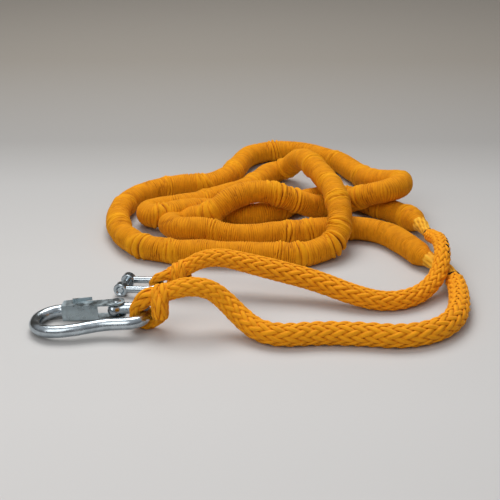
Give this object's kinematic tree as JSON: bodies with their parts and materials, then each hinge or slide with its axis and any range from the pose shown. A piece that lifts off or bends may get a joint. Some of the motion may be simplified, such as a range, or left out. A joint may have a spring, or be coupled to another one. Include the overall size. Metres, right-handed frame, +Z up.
{
  "type": "elastic safety tether",
  "caption": "Elastic safety tether: gathered sleeve over a stretch core, rope legs, a spring-gate snap hook at one end and a screw-pin shackle at the other.",
  "frame": {"origin": "bottom centre of the steel fittings (snap hook and shackle together), on the surface that the tether lies on", "axes": "+Z up from the surface, +X from the fittings towards the heap of rope, +Y from the snap hook's side to the shackle's side"},
  "size_m": [0.3636, 0.4566, 0.05],
  "materials": {
    "sleeve_textile": "ribbed gathered textile",
    "neck_textile": "smooth stretched textile",
    "rope": "hollow braid",
    "thread": "waxed thread",
    "zinc_steel": "zinc plated, lightly worn",
    "spring_steel": "drawn wire"
  },
  "bodies": {
    "tether": {"sleeve": "sleeve_textile", "hook_neck": "neck_textile", "shackle_neck": "neck_textile", "hook_leg": "rope", "shackle_leg": "rope", "hook_whipping": "thread", "shackle_whipping": "thread", "lock_stitches": "thread", "hook_eye_loop": "rope", "hook_knot": "rope", "hook_knot_tail": "rope", "shackle_bow_loop": "rope", "shackle_knot": "rope"},
    "hook": {"hook_body": "zinc_steel", "gate_rivet": "zinc_steel"},
    "gate": {"hook_gate": "zinc_steel", "gate_spring": "spring_steel"},
    "shackle": {"shackle_bow": "zinc_steel"},
    "pin": {"shackle_pin": "zinc_steel"}
  },
  "joints": [
    {"name": "hook_swing", "type": "hinge", "parent": "tether", "child": "hook", "pos_m": [0.0424, -0.029, 0.0125], "axis": [0, 0.9994, -0.0349], "range_deg": [0, 65]},
    {"name": "gate_hinge", "type": "hinge", "parent": "hook", "child": "gate", "pos_m": [0.01747, -0.01257, 0.01009], "axis": [-0.0732, 0.0348, 0.9967], "range_deg": [0, 28], "stiffness_Nm_per_rad": 0.4, "springref_deg": -22.92},
    {"name": "shackle_swing", "type": "hinge", "parent": "tether", "child": "shackle", "pos_m": [0.049, 0.0326, 0.0096], "axis": [0.2574, 0.9659, 0.0271], "range_deg": [0, 65]},
    {"name": "pin_unscrew", "type": "slide", "parent": "shackle", "child": "pin", "axis": [0.2574, 0.9659, 0.0271], "range_m": [0, 0.018]}
  ]
}
